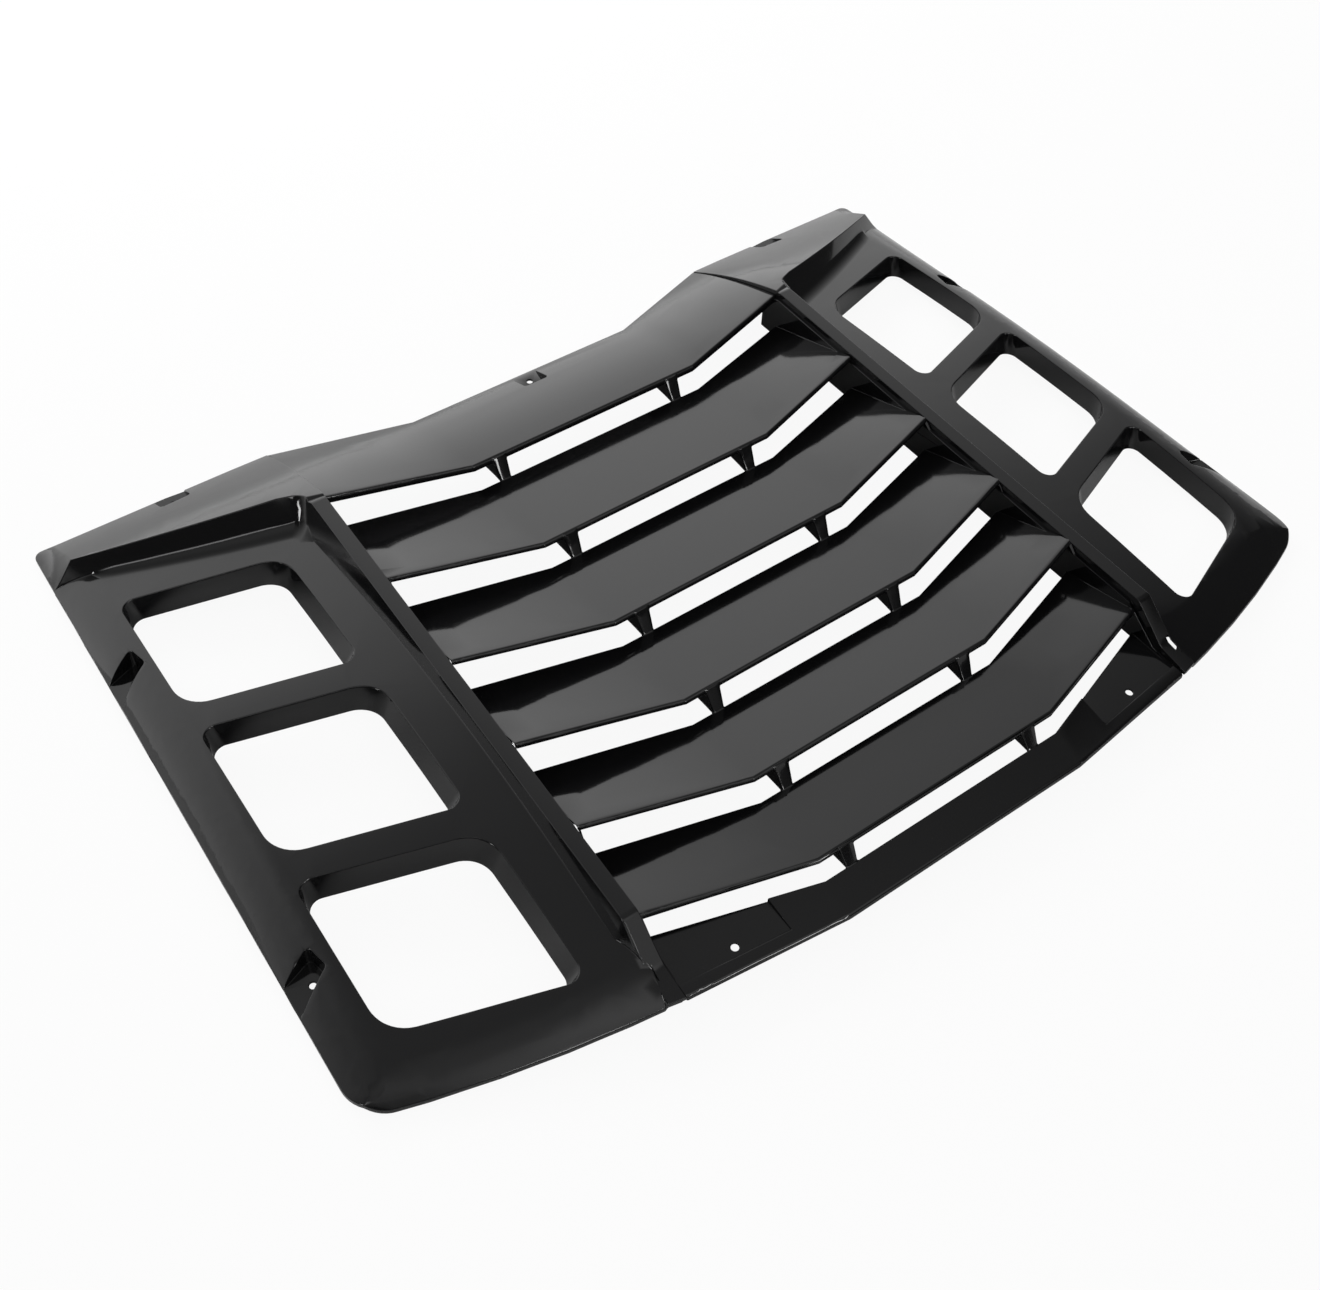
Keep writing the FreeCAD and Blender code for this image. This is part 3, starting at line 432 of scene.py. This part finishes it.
class LOUVER_OT_centre_panel(bpy.types.Operator):
    """Finish the slatted centre panel"""

    bl_idname = "louver.centre_panel"
    bl_label = "Centre Panel"

    def execute(self, context):
        plastic = context.scene.louver_plastic
        rounded_moulding("centre_louver_panel", gloss_black(plastic), plastic.edge_radius)
        return {"FINISHED"}


class LOUVER_OT_side_panels(bpy.types.Operator):
    """Finish the two side panels with their windows"""

    bl_idname = "louver.side_panels"
    bl_label = "Side Panels"

    def execute(self, context):
        plastic = context.scene.louver_plastic
        for name in ("left_side_panel", "right_side_panel"):
            rounded_moulding(name, gloss_black(plastic), plastic.edge_radius,
                             plastic.foot_width)
        return {"FINISHED"}


class LOUVER_OT_seam_fasteners(bpy.types.Operator):
    """Finish the screws, washers and nuts under the rails"""

    bl_idname = "louver.seam_fasteners"
    bl_label = "Seam Fasteners"

    def execute(self, context):
        steel = context.scene.louver_steel
        zinc = skin_material(
            "Zinc Plated Steel", steel.colour, steel.roughness, haze=0.8, ripple_height=0.00002,
            patch_scale=160.0, ripple_scale=700.0, metallic=1.0)
        for name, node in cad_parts.items():
            if name.startswith(FASTENER_STEMS):
                finish(node, zinc)
        return {"FINISHED"}


def fade(tree, source, start, end):
    """Smooth mask that goes from 0 where source is start to 1 where it is end."""
    mask = add_node(tree, "ShaderNodeMapRange", {"From Min": start, "From Max": end},
                    interpolation_type="SMOOTHSTEP")
    tree.links.new(source, mask.inputs["Value"])
    return mask.outputs["Result"]


def height_of(degrees):
    """Z of a direction that stands so many degrees over the horizon."""
    return math.sin(math.radians(degrees))


def direction_of(turn, height):
    """Unit vector for a direction so many degrees round from +X and over the horizon."""
    turn, height = math.radians(turn), math.radians(height)
    return (math.cos(turn) * math.cos(height), math.sin(turn) * math.cos(height),
            math.sin(height))


def soft_lights(settings):
    """Direction, starting and full cosine, lower and upper fade and strength of each light."""
    for turn, height, spread in GLINT_SPOTS:
        cosines = [math.cos(math.radians(share * spread)) for share in (GLINT_RIM, 1.0)]
        yield direction_of(turn, height), cosines, None, None, settings.spot_strength
    for setting, toward, cosines, low, high in SOFT_LIGHTS:
        yield toward, cosines, low, high, getattr(settings, setting)


def studio_light(tree, directions, height, toward, cosines, low, high, strength):
    """Brightness of one soft light in each direction of the room."""
    aim = add_node(tree, "ShaderNodeVectorMath", {1: toward}, operation="DOT_PRODUCT")
    tree.links.new(directions, aim.inputs[0])
    level = fade(tree, aim.outputs["Value"], *cosines)
    for edge in (low, high):
        if edge:
            mask = fade(tree, height, *[height_of(part) for part in edge])
            level = calculate(tree, "MULTIPLY", level, mask)
    return calculate(tree, "MULTIPLY", level, strength)


def studio_room(settings):
    """Dim room with its soft lights, which the panels mirror; the camera sees plain white."""
    world = bpy.data.worlds.new("Studio Room")
    bpy.context.scene.world = world
    world.use_nodes = True
    tree = world.node_tree
    link = tree.links.new
    place = add_node(tree, "ShaderNodeTexCoord")
    directions = place.outputs["Generated"]
    parts = add_node(tree, "ShaderNodeSeparateXYZ")
    link(directions, parts.inputs["Vector"])
    height = parts.outputs["Z"]

    start, end = [height_of(degrees) for degrees in CEILING_RISE]
    room = add_node(tree, "ShaderNodeMapRange", {
        "From Min": start, "From Max": end, "To Min": settings.room_strength,
        "To Max": settings.ceiling_strength}, interpolation_type="SMOOTHSTEP")
    link(height, room.inputs["Value"])
    level = room.outputs["Result"]
    for light in soft_lights(settings):
        level = calculate(tree, "ADD", level, studio_light(tree, directions, height, *light))

    seen = add_node(tree, "ShaderNodeLightPath")
    white = add_node(tree, "ShaderNodeMix", {"B": 1.0}, data_type="FLOAT")
    link(seen.outputs["Is Camera Ray"], white.inputs["Factor"])
    link(level, white.inputs["A"])
    background = tree.nodes["Background"]
    link(white.outputs["Result"], background.inputs["Strength"])
    background.inputs["Color"].default_value = (1.0, 1.0, 1.0, 1.0)


def studio_floor(settings):
    """Pale floor that keeps the shadow, lifted to near white where the camera sees it."""
    bpy.ops.mesh.primitive_plane_add(size=FLOOR_SIZE, location=(0.0, 0.0, -FLOOR_DROP))
    floor = bpy.context.object
    floor.name = "studio_floor"
    material, tree, shader = new_material("Pale Floor")
    link = tree.links.new
    place = add_node(tree, "ShaderNodeTexCoord")
    grain = add_node(tree, "ShaderNodeTexNoise", {"Scale": FLOOR_GRAIN_SCALE})
    shade = [FLOOR_GRAIN_SHADE * part for part in settings.floor_colour]
    tone = add_node(tree, "ShaderNodeMix", {
        "A": (*settings.floor_colour, 1.0), "B": (*shade, 1.0)}, data_type="RGBA")
    link(place.outputs["Object"], grain.inputs["Vector"])
    link(grain.outputs["Fac"], tone.inputs["Factor"])
    link(tone.outputs["Result"], shader.inputs["Base Color"])
    shader.inputs["Roughness"].default_value = 0.9
    shader.inputs["Specular IOR Level"].default_value = 0.1

    seen = add_node(tree, "ShaderNodeLightPath")
    lift = calculate(tree, "MULTIPLY", seen.outputs["Is Camera Ray"], settings.floor_lift)
    white = add_node(tree, "ShaderNodeEmission", {"Strength": 1.0})
    mixed = add_node(tree, "ShaderNodeMixShader")
    link(lift, mixed.inputs["Fac"])
    link(shader.outputs["BSDF"], mixed.inputs[1])
    link(white.outputs["Emission"], mixed.inputs[2])
    link(mixed.outputs["Shader"], tree.nodes["Material Output"].inputs["Surface"])
    finish(floor, material)


def soft_lamp(name, place, aim, size, power):
    """Rectangular lamp at place that points at aim and leaves no reflection."""
    bpy.ops.object.light_add(type="AREA", location=place)
    lamp = bpy.context.object
    lamp.name = name
    lamp.rotation_euler = (Vector(aim) - Vector(place)).to_track_quat("-Z", "Y").to_euler()
    lamp.data.shape = "RECTANGLE"
    lamp.data.size, lamp.data.size_y = size
    lamp.data.energy = power
    lamp.visible_glossy = False
    lamp.visible_camera = False


def studio_camera(settings):
    """Camera at the photograph's viewing angle."""
    bpy.ops.object.camera_add(location=settings.camera_place,
                              rotation=Euler(settings.camera_turn))
    camera = bpy.context.object
    camera.data.sensor_width = SENSOR_WIDTH
    camera.data.lens = settings.lens
    bpy.context.scene.camera = camera


class LOUVER_OT_studio(bpy.types.Operator):
    """Set up the floor, the lamps, the room and the camera"""

    bl_idname = "louver.studio"
    bl_label = "Studio"

    def execute(self, context):
        studio = context.scene.louver_studio
        studio_room(studio)
        studio_floor(studio)
        for name, lamp in LAMPS.items():
            soft_lamp(name, *lamp)
        studio_camera(studio)
        context.scene.view_settings.view_transform = "Standard"
        return {"FINISHED"}


OPERATORS = (LOUVER_OT_centre_panel, LOUVER_OT_side_panels, LOUVER_OT_seam_fasteners,
             LOUVER_OT_studio)


class LOUVER_PT_sidebar(bpy.types.Panel):
    """Sidebar panel that lists the louver's operators and settings"""

    bl_idname = "LOUVER_PT_sidebar"
    bl_label = "Rear Window Louver"
    bl_space_type = "VIEW_3D"
    bl_region_type = "UI"
    bl_category = "Louver"

    def draw(self, context):
        for operator in OPERATORS:
            self.layout.operator(operator.bl_idname)
        scene = context.scene
        for settings in (scene.louver_plastic, scene.louver_steel, scene.louver_studio):
            for field in type(settings).__annotations__:
                self.layout.prop(settings, field)


CLASSES = (LouverPlasticSettings, LouverSteelSettings, LouverStudioSettings, *OPERATORS,
           LOUVER_PT_sidebar)


def register():
    """Registers the classes and hangs the settings on the scene."""
    for cls in CLASSES:
        bpy.utils.register_class(cls)
    scene = bpy.types.Scene
    scene.louver_plastic = bpy.props.PointerProperty(type=LouverPlasticSettings)
    scene.louver_steel = bpy.props.PointerProperty(type=LouverSteelSettings)
    scene.louver_studio = bpy.props.PointerProperty(type=LouverStudioSettings)


def unregister():
    """Takes the settings and the classes off again."""
    del bpy.types.Scene.louver_studio
    del bpy.types.Scene.louver_steel
    del bpy.types.Scene.louver_plastic
    for cls in reversed(CLASSES):
        bpy.utils.unregister_class(cls)


def main():
    """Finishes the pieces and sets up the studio."""
    register()
    bpy.ops.louver.centre_panel()
    bpy.ops.louver.side_panels()
    bpy.ops.louver.seam_fasteners()
    bpy.ops.louver.studio()


if __name__ == "__main__":
    main()
